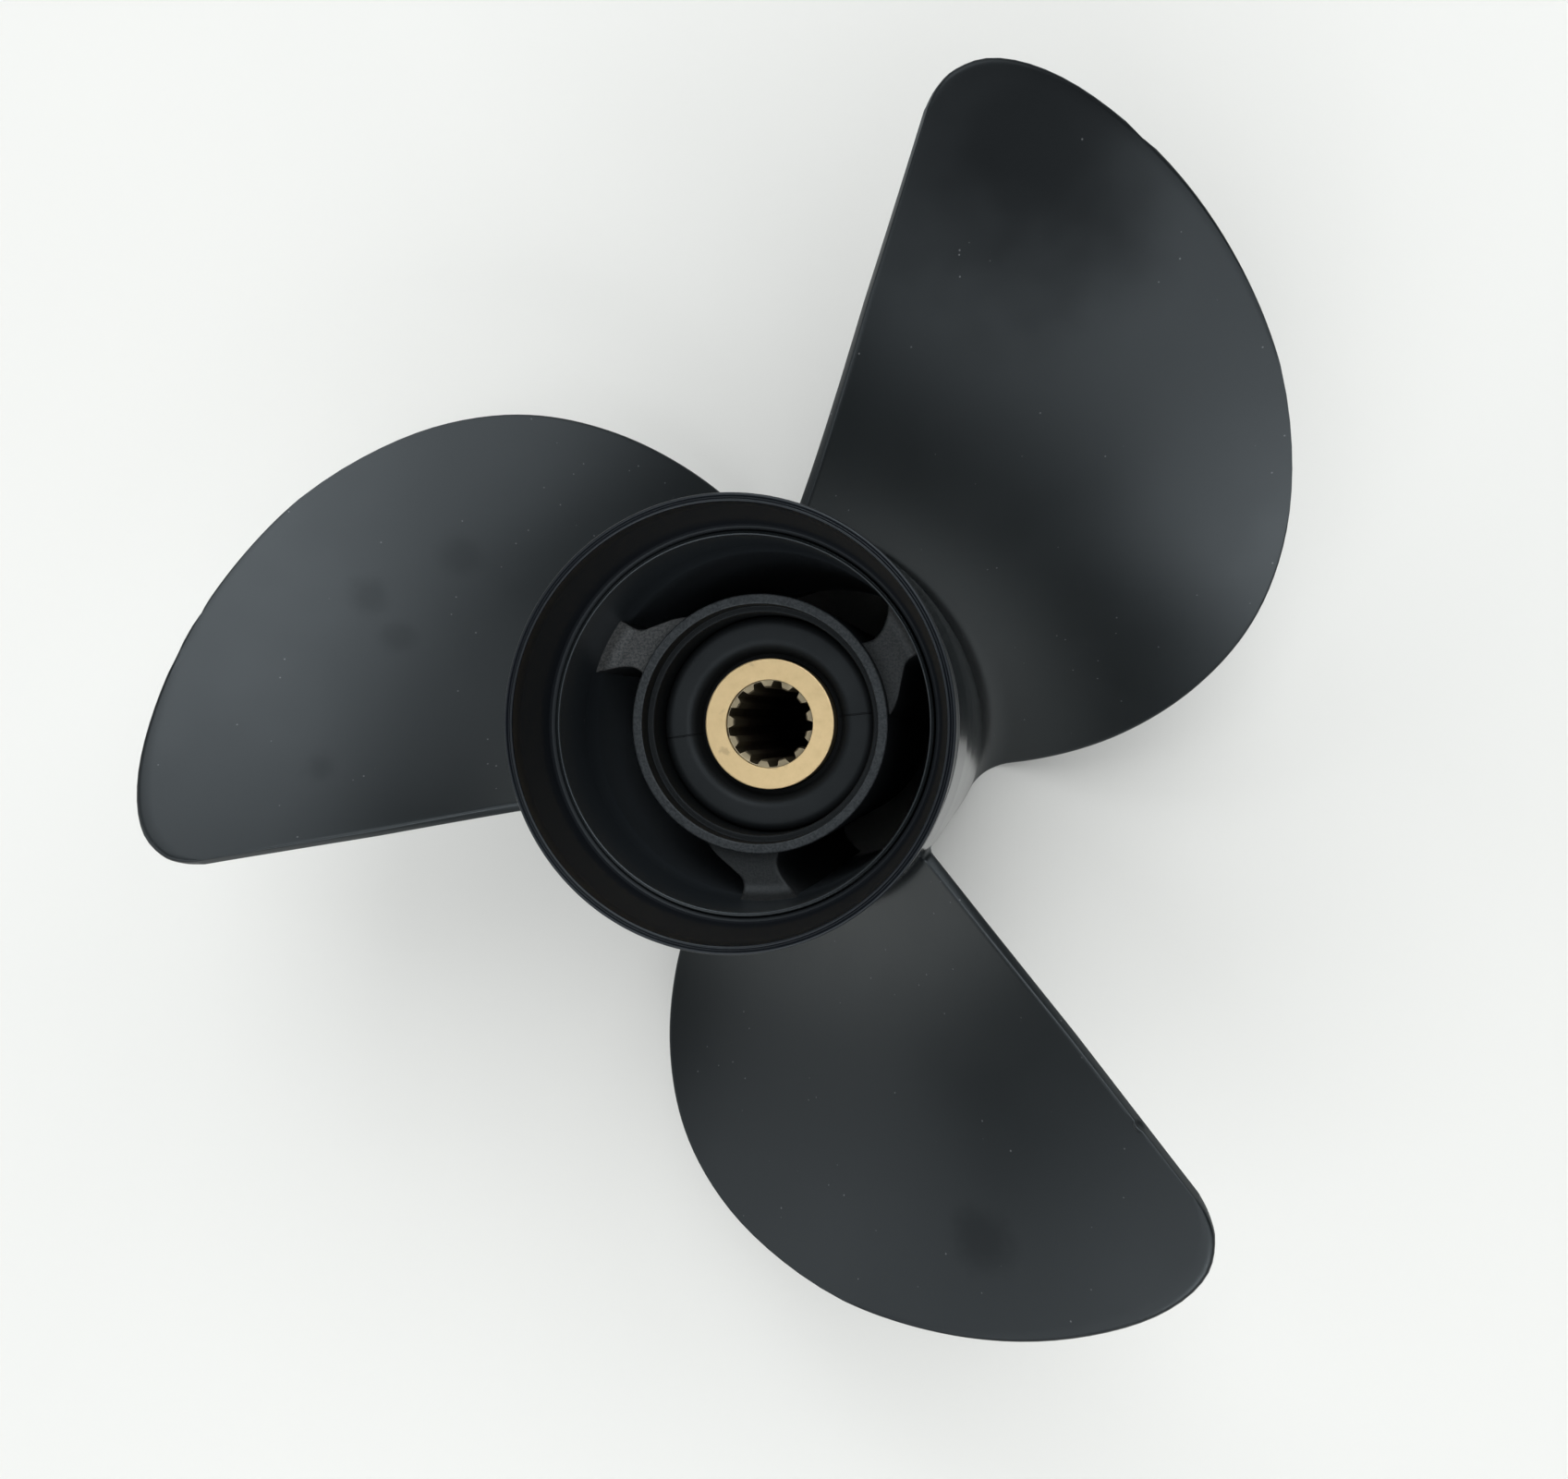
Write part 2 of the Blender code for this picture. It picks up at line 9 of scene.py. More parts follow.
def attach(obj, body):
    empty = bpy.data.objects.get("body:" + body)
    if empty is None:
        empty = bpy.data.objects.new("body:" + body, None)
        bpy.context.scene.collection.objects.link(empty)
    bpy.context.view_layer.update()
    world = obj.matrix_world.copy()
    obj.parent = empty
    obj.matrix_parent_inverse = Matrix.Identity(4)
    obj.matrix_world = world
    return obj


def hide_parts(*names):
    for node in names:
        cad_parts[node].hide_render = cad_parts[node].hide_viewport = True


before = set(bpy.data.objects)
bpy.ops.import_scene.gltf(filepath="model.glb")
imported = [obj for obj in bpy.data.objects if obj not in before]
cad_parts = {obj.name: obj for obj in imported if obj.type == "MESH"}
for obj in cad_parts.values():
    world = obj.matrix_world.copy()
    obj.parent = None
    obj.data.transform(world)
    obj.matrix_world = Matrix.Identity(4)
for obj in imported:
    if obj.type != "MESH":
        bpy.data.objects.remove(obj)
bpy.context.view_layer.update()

MM = 0.001
SEAM = 0.3 * MM

# Barrel; its crowned outside is given as radius and height in mm
HUB_LENGTH = 173.0 * MM
BARREL_CROWN = ((49.1, 0.0), (49.8, 60.0), (50.4, 100.0), (50.5, 118.0), (50.0, 134.0), (48.8, 147.7))
BARREL_END_Z = 147.7 * MM
CROWN_ROUNDING = 25.0 * MM
BORE_FRONT_RADIUS = 44.4 * MM
BORE_NECK_RADIUS = 42.2 * MM
BORE_NECK_Z = 128.0 * MM
BORE_NECK_ROUNDING = 20.0 * MM
BORE_TURNED_Z = 136.0 * MM
SPIGOT_RADIUS = 43.7 * MM
SPIGOT_LIP_RADIUS = 42.7 * MM
SPIGOT_END_Z = 155.8 * MM

# Flared ring
RING_RADIUS = 48.8 * MM
RING_FLARE_FRONT_Z = 158.0 * MM
RING_FLARE_BACK_Z = 168.0 * MM
RING_SEAT_END_Z = 154.8 * MM
RING_THROAT_RADIUS = 44.75 * MM
RING_MOUTH_Z = 168.5 * MM
RIM_RADIUS = 49.6 * MM
RIM_MOUTH_RADIUS = 47.6 * MM
RIM_GROOVE_WIDTH = 0.9 * MM
RIM_GROOVE_DEPTH = 0.6 * MM

# Inner tube, ribs, bush and sleeve; a rib's sides are given as radius in mm and angle
INNER_HUB_RADIUS = 31.3 * MM
INNER_HUB_FRONT_Z = 4.0 * MM
INNER_HUB_END_Z = 135.2 * MM
INNER_HUB_WALL = 2.5 * MM
BUSH_SEAT_RADIUS = 27.2 * MM
BUSH_SEAT_END_Z = 130.0 * MM
SHOULDER_RADIUS = 21.0 * MM
SHOULDER_THICKNESS = 6.0 * MM
RIB_COUNT = 3
RIB_LOW_SIDE = ((29.0, -2.0), (33.0, 7.5), (36.0, 17.5), (39.0, 23.0), (46.0, 23.5))
RIB_HIGH_SIDE = ((29.0, 41.0), (33.0, 37.0), (36.0, 37.0), (40.0, 40.0), (46.0, 46.5))
RIB_FRONT_Z = 12.0 * MM
RIB_END_Z = 131.0 * MM
RIB_EDGE = 0.7 * MM
RIB_END_FILLET = 3.5 * MM
RIB_END_FACING = 0.3
BUSH_END_Z = 122.0 * MM
BUSH_EDGE_RADIUS = 2.4 * MM
BUSH_FRONT_EDGE = 1.5 * MM
BUSH_HOLLOW_DEPTH = 6.0 * MM
BUSH_HOLLOW_WIDTH = 2.4 * MM
SLEEVE_RADIUS = 16.4 * MM
SLEEVE_FRONT_Z = 7.0 * MM
SLEEVE_END_Z = 120.8 * MM
SLEEVE_EDGE = 0.3 * MM
MOUTH_EDGE = 0.12 * MM
TOOTH_COUNT = 13
TOOTH_TIP_RADIUS = 9.2 * MM
TOOTH_ROOT_RADIUS = 10.8 * MM
TOOTH_ANGLE = 94.0
TOOTH_SHAPE = ((-0.30, 1.0), (-0.26, 0.6), (-0.21, 0.12), (-0.17, 0.0), (0.0, 0.0), (0.17, 0.0),
               (0.21, 0.12), (0.26, 0.6), (0.30, 1.0), (0.40, 1.0), (0.5, 1.0), (0.6, 1.0))
MOUTH_RADIUS = 11.0 * MM
MOUTH_DEPTH = 1.5 * MM

# Blades; the first one's outline is given as radius in mm and angle
BLADE_COUNT = 3
TIP_RADIUS = 165.3 * MM
PITCH = 482.6 * MM
RAKE = 0.285
ROOT_REFERENCE_RADIUS = 50.0 * MM
ROOT_REFERENCE_Z = 17.8 * MM
BLADE_START_RADIUS = 44.8 * MM
TRAIL_DIRECTION = 69.7
TRAIL_OFFSET = 9.74 * MM
TRAIL_END_RADIUS = 147.0 * MM
TRAIL_BOW = 0.95
TRAIL_BOW_RADIUS = 105.0 * MM
TRAIL_BOW_POWER = 1.25
TIP_RISE_START = 0.15
TIP_RISE_POWER = 1.5
FILLET_START_RADIUS = 49.1 * MM
PRESSURE_FILLET = (2.0 * MM, 10.0 * MM)
SUCTION_FILLET = (1.5 * MM, 6.0 * MM)
EDGE_FILLET = 1.5 * MM
EDGE_RADIUS = 1.4 * MM
TRAIL_ROUNDING = 0.5 * MM
ROOT_THICKNESS = 13.0 * MM
TIP_THICKNESS = 4.0 * MM
SPAN_TAPER = 1.3
CHORD_ROUNDNESS = 0.8
TIP_THINNING = 8
LEADING_EDGE = ((44.0, -18.5), (68.0, -10.1), (92.0, -2.2), (112.0, 5.1), (128.0, 12.3), (140.0, 20.1),
                (149.0, 28.4), (156.0, 36.8))
TIP_EDGE = ((156.0, 36.8), (161.1, 45.6), (164.2, 53.6), (165.3, 61.3), (164.3, 66.2), (161.2, 69.8),
            (156.0, 72.1), (151.2, 73.1))

# Handled spots on the blades: place in mm, reach in mm and strength
SMUDGES = (
    ((63.0, 136.0, 132.0), 44.0, 1.0),
    ((55.0, 121.0, 126.0), 14.0, 0.5),
    ((52.0, -129.0, 113.0), 11.0, 0.4),
    ((-98.0, 49.0, 80.0), 8.0, 0.25),
    ((-119.0, 37.0, 96.0), 7.0, 0.25),
    ((-109.0, 24.0, 99.0), 6.0, 0.25),
    ((-119.0, -11.0, 125.0), 5.0, 0.25),
)
SMUDGE_TONE = (0.001, 0.0015, 0.002)
SMUDGE_ROUGHNESS = 0.1
SMUDGE_DULLING = 0.6

# Nicks in the blades' edges: blade, radius in mm and angle
NICKS = ((1, 162.3, 48.8), (1, 164.0, 53.2), (0, 165.0, 57.1), (2, 127.2, 74.2))
NICK_REACH = 1.4 * MM
NICK_DEPTH = 0.5 * MM
NICK_MESH_REACH = 2.5 * NICK_REACH
BLADE_MIDDLE = (85.0 * MM, 60.0 * MM)

# Dust on the paint, and the lines that the mould left on the rubber
DUST_TONE = (0.09, 0.095, 0.10)
DUST_CELLS = 420.0
DUST_SIZE = 0.13
DUST_SHARE = 0.07
MOULD_LINES = (6.0, 188.0)
MOULD_LINE_WIDTH = 0.25 * MM

# Finishes: the darker and the paler tone of each, and the range of its roughness
PAINT_TINT = (0.82, 0.93, 1.0)
PAINT_TONES = ((0.0026, 0.0036, 0.0042), (0.0038, 0.0050, 0.0056))
BARREL_ROUGHNESS = (0.16, 0.20)
BLADE_ROUGHNESS = (0.34, 0.38)
# Painted fill light: the passage paint is a paler copy of the black paint, paler still deep inside the
# passages
PASSAGE_FILL_LIGHT_TONES = ((0.012, 0.015, 0.018), (0.018, 0.022, 0.026))
PASSAGE_DEEP_FILL_LIGHT_TONE = (0.14, 0.165, 0.19)
PASSAGE_FADE = 45.0 * MM
RING_TONES = ((0.0022, 0.0034, 0.0054), (0.0040, 0.0046, 0.0064))
RING_ROUGHNESS = (0.55, 0.32)
HUB_TONES = ((0.004, 0.005, 0.006), (0.030, 0.033, 0.036))
# Painted shade: the bush seat and the faces inside the inner tube take a darker, duller copy of the
# paint
SEAT_SHADE_TONES = ((0.001, 0.0012, 0.0015), (0.004, 0.0045, 0.005))
SEAT_SHINE = 0.3
RIB_SIDE_TONES = ((0.006, 0.007, 0.008), (0.014, 0.015, 0.016))
RIB_END_TONES = ((0.026, 0.028, 0.029), (0.078, 0.079, 0.079))
# Painted light and shade: each rib's end tone is scaled by its own factor, lighter or darker as light
# falls into its passage
RIB_PAINTED_LIGHT = (0.5, 1.1, 0.2)
RUBBER_TONES = ((0.005, 0.006, 0.007), (0.008, 0.0092, 0.0102))
# Dark tone of the mould lines, used also for the painted shade next to the sleeve
RUBBER_LINE_AND_SHADE_TONE = (0.002, 0.002, 0.0025)
RUBBER_ROUGHNESS = (0.50, 0.62)
RUBBER_SHADE = (3.0 * MM, 0.5 * MM)
BRASS_TONES = ((0.68, 0.515, 0.265), (0.855, 0.68, 0.40))
BRASS_STAIN_TONE = (0.32, 0.24, 0.14)
# Painted shade: the sunken mouth and the splined bore are darkened, more so the deeper they go
BRASS_RECESS_SHADE_TONE = (0.30, 0.26, 0.175)
BRASS_DEEP_SHADE_TONE = (0.11, 0.085, 0.065)
BRASS_ROUGHNESS = (0.38, 0.52)
BRASS_SHADE_DEPTH = 25.0 * MM
FLOOR_TONES = ((0.70, 0.715, 0.70), (0.74, 0.75, 0.73))
FLOOR_ROUGHNESS = 0.85
FLOOR_REACH = 4.0

# Fineness of the pieces, and the hair by which a blade's edge stays inside its faceted solid
SMOOTH_ANGLE = 30.0
BLADE_SMOOTH_ANGLE = 40.0
MERGE = 0.002 * MM
ROUND_STEPS = 192
RIB_STEPS = 24
BLADE_COLUMNS = 44
COLUMN_CROWDING = 0.12
BLADE_ROWS = 50
CORNER_TURNS = (0.0, 22.5, 45.0, 67.5, 90.0)
FILLET_STEPS = (0.0, 0.01, 0.03, 0.06, 0.1, 0.15, 0.22, 0.3, 0.4, 0.52, 0.66, 0.82, 1.0)
OUTLINE_SAMPLES = 24
EDGE_INSET = 0.1 * MM
GUARD = 0.1 * MM

# Camera, as fitted to the photograph: seen from above, a little from the right
LENS = 32.67
SENSOR_WIDTH = 36.0
VIEW_SIDE = 10.17
VIEW_FORWARD = -0.70
VIEW_OFFSET = (12.04 * MM, -3.34 * MM, 309.3 * MM)
VIEW_HEIGHT = 168.0 * MM

# Soft lights round the propeller: bearing and height in degrees, size in metres, power in watts
ROOM_COLOUR = (0.85, 0.93, 1.0, 1.0)
ROOM_STRENGTH = 0.03
LIGHT_DISTANCE = 2.4
LIGHT_AIM_Z = 0.05
LIGHTS = (
    ("ceiling_back", 72.0, 64.0, (1.25, 1.05), 16.5),
    ("ceiling_left", 216.0, 66.0, (1.25, 1.05), 7.5),
    ("ceiling_front", 288.0, 64.0, (1.25, 1.05), 7.5),
    ("ceiling_right", 0.0, 66.0, (1.25, 1.05), 5.0),
    ("wall_front", 270.0, 38.0, (1.45, 1.0), 18.5),
    ("wall_back", 90.0, 42.0, (1.45, 1.0), 15.0),
    ("wall_right_back", 45.0, 38.0, (1.45, 1.0), 10.0),
    ("wall_right_front", 318.0, 38.0, (1.45, 1.0), 8.0),
    ("wall_left_front", 225.0, 38.0, (1.45, 1.0), 8.0),
    ("wall_left", 180.0, 34.0, (1.45, 1.0), 6.0),
    ("wall_left_back", 128.0, 38.0, (1.3, 1.0), 4.5),
    ("low_back", 90.0, 15.0, (1.6, 0.9), 3.0),
    ("low_left", 180.0, 14.0, (1.6, 0.9), 3.0),
)


def add_camera():
    """Camera with the turn and offset of the fitted view."""
    camera = bpy.data.cameras.new("camera")
    camera.lens = LENS
    camera.sensor_width = SENSOR_WIDTH
    item = bpy.data.objects.new("camera", camera)
    bpy.context.scene.collection.objects.link(item)
    forward = Matrix.Rotation(math.radians(VIEW_FORWARD), 4, "X")
    turn = forward @ Matrix.Rotation(math.radians(VIEW_SIDE), 4, "Y")
    place = turn @ Vector(VIEW_OFFSET) + Vector((0.0, 0.0, VIEW_HEIGHT))
    item.matrix_world = Matrix.Translation(place) @ turn
    bpy.context.scene.camera = item


def add_light(name, bearing, height, size, power):
    """Large soft light at a bearing and height in degrees, facing the propeller."""
    light = bpy.data.lights.new(name, "AREA")
    light.shape = "RECTANGLE"
    light.size, light.size_y = size
    light.energy = power
    item = bpy.data.objects.new(name, light)
    bpy.context.scene.collection.objects.link(item)
    across = LIGHT_DISTANCE * math.cos(math.radians(height))
    rise = LIGHT_DISTANCE * math.sin(math.radians(height))
    item.location = polar_point(across, math.radians(bearing), rise)
    aim = Vector((0.0, 0.0, LIGHT_AIM_Z)) - item.location
    item.rotation_euler = aim.to_track_quat("-Z", "Y").to_euler()


def add_surroundings():
    """Plain pale floor under a room of soft lights, dark straight overhead."""
    world = bpy.data.worlds.new("room")
    world.use_nodes = True
    backdrop = world.node_tree.nodes["Background"]
    backdrop.inputs["Color"].default_value = ROOM_COLOUR
    backdrop.inputs["Strength"].default_value = ROOM_STRENGTH
    bpy.context.scene.world = world
    bpy.context.scene.view_settings.view_transform = "Standard"
    for light in LIGHTS:
        add_light(*light)
    bm = bmesh.new()
    bmesh.ops.create_grid(bm, x_segments=1, y_segments=1, size=FLOOR_REACH)
    finish_mesh("floor", bm, [floor_material()])


def finish_mesh(name, bm, materials, angle=SMOOTH_ANGLE):
    """Object made from the mesh, smooth but for its sharp edges."""
    mesh = bpy.data.meshes.new(name)
    bm.to_mesh(mesh)
    bm.free()
    for material in materials:
        mesh.materials.append(material)
    mesh.shade_smooth()
    mesh.set_sharp_from_angle(angle=math.radians(angle))
    item = bpy.data.objects.new(name, mesh)
    bpy.context.scene.collection.objects.link(item)
    return item


class Finish:
    """Short forms for building a node material."""

    def __init__(self, name):
        self.material = bpy.data.materials.new(name)
        self.material.use_nodes = True
        self.nodes = self.material.node_tree.nodes
        self.links = self.material.node_tree.links
        self.shader = self.nodes["Principled BSDF"]
        self.place = self.node("ShaderNodeTexCoord").outputs["Object"]

    def node(self, kind, **settings):
        made = self.nodes.new(kind)
        for key, value in settings.items():
            setattr(made, key, value)
        return made

    def put(self, socket, value):
        """Links a socket to another one, or sets it to a plain value."""
        if isinstance(value, bpy.types.NodeSocket):
            self.links.new(value, socket)
        else:
            socket.default_value = value

    def set(self, name, value):
        self.put(self.shader.inputs[name], value)

    def noise(self, scale, detail=3.0, roughness=0.55):
        made = self.node("ShaderNodeTexNoise")
        self.put(made.inputs["Vector"], self.place)
        self.put(made.inputs["Scale"], scale)
        self.put(made.inputs["Detail"], detail)
        self.put(made.inputs["Roughness"], roughness)
        return made.outputs["Fac"]

    def split_place(self):
        """X, Y and Z of the place that is shaded."""
        made = self.node("ShaderNodeSeparateXYZ")
        self.put(made.inputs[0], self.place)
        return made.outputs[:3]

    def maths(self, operation, a, b=0.0, c=0.0):
        made = self.node("ShaderNodeMath", operation=operation)
        for socket, value in zip(made.inputs, (a, b, c)):
            self.put(socket, value)
        return made.outputs[0]

    def ramp(self, value, low, high, to_low=0.0, to_high=1.0):
        """Smooth change from one level to another while a value goes from low to high."""
        made = self.node("ShaderNodeMapRange", interpolation_type="SMOOTHSTEP")
        for name, setting in (("Value", value), ("From Min", low), ("From Max", high),
                              ("To Min", to_low), ("To Max", to_high)):
            self.put(made.inputs[name], setting)
        return made.outputs["Result"]

    def mix(self, share, first, second):
        made = self.node("ShaderNodeMix", data_type="RGBA")
        self.put(made.inputs["Factor"], share)
        self.put(made.inputs["A"], (*first, 1.0) if isinstance(first, tuple) else first)
        self.put(made.inputs["B"], (*second, 1.0) if isinstance(second, tuple) else second)
        return made.outputs["Result"]

    def bump(self, height, distance, strength=1.0, normal=None):
        made = self.node("ShaderNodeBump")
        self.put(made.inputs["Height"], height)
        self.put(made.inputs["Distance"], distance)
        self.put(made.inputs["Strength"], strength)
        if normal:
            self.put(made.inputs["Normal"], normal)
        return made.outputs["Normal"]

    def smudges(self, spots):
        """Soft uneven patches round places in mm, each with its own reach."""
        cover = 0.0
        for spot, reach_mm, strength in spots:
            reach = reach_mm * MM
            ragged = self.noise(0.8 / reach, 3.0, 0.6)
            away = self.node("ShaderNodeVectorMath", operation="DISTANCE")
            self.put(away.inputs[0], self.place)
            self.put(away.inputs[1], tuple(v * MM for v in spot))
            edge = self.maths("MULTIPLY_ADD", ragged, 1.2 * reach, away.outputs["Value"])
            patch = self.ramp(edge, 1.8 * reach, 0.8 * reach, 0.0, strength)
            cover = self.maths("MAXIMUM", cover, patch)
        return cover

    def specks(self, scale, size, share):
        """Sparse round dots: cells of a Voronoi pattern, of which only a share shows."""
        cells = self.node("ShaderNodeTexVoronoi")
        self.put(cells.inputs["Vector"], self.place)
        self.put(cells.inputs["Scale"], scale)
        dot = self.ramp(cells.outputs["Distance"], size, size * 0.5)
        picked = self.node("ShaderNodeSeparateColor")
        self.put(picked.inputs["Color"], cells.outputs["Color"])
        shown = self.maths("LESS_THAN", picked.outputs["Red"], share)
        return self.maths("MULTIPLY", dot, shown)


def floor_material():
    finish = Finish("pale_floor")
    cloud = finish.noise(3.0, 2.0)
    finish.set("Base Color", finish.mix(cloud, *FLOOR_TONES))
    finish.set("Roughness", FLOOR_ROUGHNESS)
    return finish.material


def paint_material(name, tones, roughness, smudged=False, deep_fill_light_tone=None):
    """Satin black paint over a casting, with dust specks and slightly uneven gloss.

    It can have handled spots, which dull it, and a paler tone deep in the passages, painted fill light
    where little light reaches.
    """
    finish = Finish(name)
    base = finish.mix(finish.noise(14.0, 3.0), *tones)
    # Painted fill light, paler the deeper the passage goes
    if deep_fill_light_tone:
        depth = finish.ramp(finish.split_place()[2], BORE_TURNED_Z, BORE_TURNED_Z - PASSAGE_FADE)
        base = finish.mix(depth, base, deep_fill_light_tone)
    gloss = finish.ramp(finish.noise(30.0, 4.0), 0.3, 0.7, *roughness)
    if smudged:
        mark = finish.smudges(SMUDGES)
        base = finish.mix(mark, base, SMUDGE_TONE)
        gloss = finish.maths("MULTIPLY_ADD", mark, SMUDGE_ROUGHNESS, gloss)
        finish.set("Metallic", finish.maths("MULTIPLY", mark, SMUDGE_DULLING))
    dust = finish.specks(DUST_CELLS, DUST_SIZE, DUST_SHARE)
    finish.set("Base Color", finish.mix(dust, base, DUST_TONE))
    finish.set("Specular Tint", (*PAINT_TINT, 1.0))
    finish.set("Roughness", gloss)
    finish.set("Normal", finish.bump(finish.noise(900.0, 2.0), 0.02 * MM, 0.5))
    return finish.material


def ring_material():
    """Satin black of the flared ring, duller in its mouth than along its rim."""
    finish = Finish("turned_black_paint")
    cloud = finish.noise(120.0, 3.0)
    finish.set("Base Color", finish.mix(cloud, *RING_TONES))
    finish.set("Specular IOR Level", 0.36)
    finish.set("Specular Tint", (*PAINT_TINT, 1.0))
    height = finish.split_place()[2]
    finish.set("Roughness", finish.ramp(height, RING_MOUTH_Z, HUB_LENGTH, *RING_ROUGHNESS))
    finish.set("Normal", finish.bump(finish.noise(1400.0, 2.0), 0.03 * MM, 0.5))
    return finish.material


def rough_material(name, tones, shine=0.5):
    """Painted face left as cast, with a coarse grain."""
    finish = Finish(name)
    grain = finish.noise(1800.0, 3.0, 0.7)
    finish.set("Base Color", finish.mix(finish.ramp(grain, 0.35, 0.65), *tones))
    finish.set("Specular IOR Level", shine)
    finish.set("Specular Tint", (*PAINT_TINT, 1.0))
    finish.set("Roughness", 0.6)
    finish.set("Normal", finish.bump(grain, 0.1 * MM, 0.8))
    return finish.material


def rubber_material():
    """Matt rubber with the two radial lines that its mould left, and painted shade darkening it next to
    the sleeve.
    """
    finish = Finish("black_rubber")
    x, y, _ = finish.split_place()
    line = 0.0
    for bearing in MOULD_LINES:
        c, s = math.cos(math.radians(bearing)), math.sin(math.radians(bearing))
        along = finish.maths("MULTIPLY_ADD", x, c, finish.maths("MULTIPLY", y, s))
        beside = finish.maths("MULTIPLY_ADD", x, -s, finish.maths("MULTIPLY", y, c))
        across = finish.maths("ABSOLUTE", beside)
        near = finish.ramp(across, MOULD_LINE_WIDTH, 0.3 * MOULD_LINE_WIDTH)
        line = finish.maths("MULTIPLY_ADD", near, finish.maths("GREATER_THAN", along, 0.0), line)
    base = finish.mix(finish.noise(60.0, 4.0), *RUBBER_TONES)
    away = finish.maths("SQRT", finish.maths("MULTIPLY_ADD", x, x, finish.maths("MULTIPLY", y, y)))
    # Painted shade: the rubber darkens towards the sleeve
    shade = finish.ramp(away, SLEEVE_RADIUS + RUBBER_SHADE[0], SLEEVE_RADIUS + RUBBER_SHADE[1])
    dark = finish.maths("MAXIMUM", line, shade)
    finish.set("Base Color", finish.mix(dark, base, RUBBER_LINE_AND_SHADE_TONE))
    finish.set("Specular IOR Level", 0.35)
    finish.set("Specular Tint", (*PAINT_TINT, 1.0))
    gloss = finish.ramp(finish.noise(45.0, 3.0), 0.3, 0.7, *RUBBER_ROUGHNESS)
    finish.set("Roughness", finish.maths("MULTIPLY_ADD", shade, 0.3, gloss))
    grain = finish.bump(finish.noise(1500.0, 2.0), 0.03 * MM, 0.6)
    finish.set("Normal", finish.bump(finish.maths("MULTIPLY", line, -1.0), 0.2 * MM, 1.0, grain))
    return finish.material


def brass_material():
    """Brushed brass, stained in patches, with painted shade in its sunken mouth and down the splined
    bore.
    """
    finish = Finish("brass")
    grain = finish.noise(500.0, 4.0, 0.65)
    base = finish.mix(grain, *BRASS_TONES)
    stain = finish.ramp(finish.noise(160.0, 4.0), 0.62, 0.72, 0.0, 0.4)
    stained = finish.mix(stain, base, BRASS_STAIN_TONE)
    height = finish.split_place()[2]
    # Painted shade in the sunken mouth, and darker still deeper down the bore
    recessed = finish.ramp(height, SLEEVE_END_Z - 0.5 * MM, SLEEVE_END_Z - MOUTH_DEPTH)
    deep = finish.ramp(height, SLEEVE_END_Z - MOUTH_DEPTH - 1.0 * MM, SLEEVE_END_Z - BRASS_SHADE_DEPTH)
    mouth_shaded = finish.mix(recessed, stained, BRASS_RECESS_SHADE_TONE)
    finish.set("Base Color", finish.mix(deep, mouth_shaded, BRASS_DEEP_SHADE_TONE))
    finish.set("Metallic", 0.85)
    finish.set("Roughness", finish.ramp(grain, 0.3, 0.7, *BRASS_ROUGHNESS))
    finish.set("Normal", finish.bump(finish.noise(1300.0, 3.0), 0.03 * MM, 0.7))
    return finish.material


def smooth_curve(points):
    """Dense points of a smooth curve through the given ones."""
    knots = np.array(points, float)
    knots = np.vstack([2 * knots[0] - knots[1], knots, 2 * knots[-1] - knots[-2]])
    dense = []
    for a, b, c, d in zip(knots, knots[1:], knots[2:], knots[3:]):
        for t in np.linspace(0.0, 1.0, OUTLINE_SAMPLES, endpoint=False):
            dense.append(0.5 * (2 * b + (c - a) * t + (2 * a - 5 * b + 4 * c - d) * t ** 2
                                + (3 * b - a - 3 * c + d) * t ** 3))
    dense.append(knots[-2])
    return np.array(dense)


def rounded_profile(corners, steps=4):
    """Closed outline of (radius, height, rounding) corners, each rounded by an arc."""
    points = []
    for i, (r, z, rounding) in enumerate(corners):
        if not rounding:
            points.append((r, z))
            continue
        here = Vector((r, z))
        before = (Vector(corners[i - 1][:2]) - here).normalized()
        after = (Vector(corners[(i + 1) % len(corners)][:2]) - here).normalized()
        half = before.angle(after) / 2
        back = rounding / math.tan(half)
        centre = here + (before + after).normalized() * (rounding / math.sin(half))
        start = here + before * back - centre
        end = here + after * back - centre
        sweep = start.angle_signed(end)
        for step in range(steps + 1):
            turn = -sweep * step / steps
            x = start.x * math.cos(turn) - start.y * math.sin(turn)
            y = start.x * math.sin(turn) + start.y * math.cos(turn)
            points.append((centre.x + x, centre.y + y))
    return guarded(points)


def guarded(points):
    """Closed outline with a point close to each end of its long sides, so that they shade flat."""
    held = []
    for here, after in zip(points, points[1:] + points[:1]):
        held.append(here)
        run = Vector(after) - Vector(here)
        if run.length > 4 * GUARD:
            step = run.normalized() * GUARD
            held += [tuple(Vector(here) + step), tuple(Vector(after) - step)]
    return held


def turned(name, profile, materials):
    """Spin a closed profile of (radius, height) points round the shaft axis."""
    bm = bmesh.new()
    corners = [bm.verts.new((radius, 0.0, height)) for radius, height in profile]
    edges = [bm.edges.new(pair) for pair in zip(corners, corners[1:] + corners[:1])]
    bmesh.ops.spin(bm, geom=corners + edges, cent=(0, 0, 0), axis=(0, 0, 1), angle=2 * math.pi,
                   steps=ROUND_STEPS, use_merge=True)
    bmesh.ops.remove_doubles(bm, verts=bm.verts, dist=MERGE)
    bmesh.ops.recalc_face_normals(bm, faces=bm.faces)
    return finish_mesh(name, bm, materials)


def stands_for(piece, slot, *nodes):
    """Fixes a piece to the part and hides the solids that it takes the place of; its slot is not used.
    """
    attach(piece, "root")
    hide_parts(*nodes)


def polar_point(radius, turn, height):
    """Point at a radius, a turn in radians and a height."""
    return (radius * math.cos(turn), radius * math.sin(turn), height)


def barrel_side():
    """Crowned outside of the barrel as (radius, height) points from the front aft."""
    return np.array(BARREL_CROWN) * MM


def barrel_radius(height):
    """Outside radius of the barrel at a height."""
    side = barrel_side()
    return float(np.interp(height, side[:, 1], side[:, 0]))


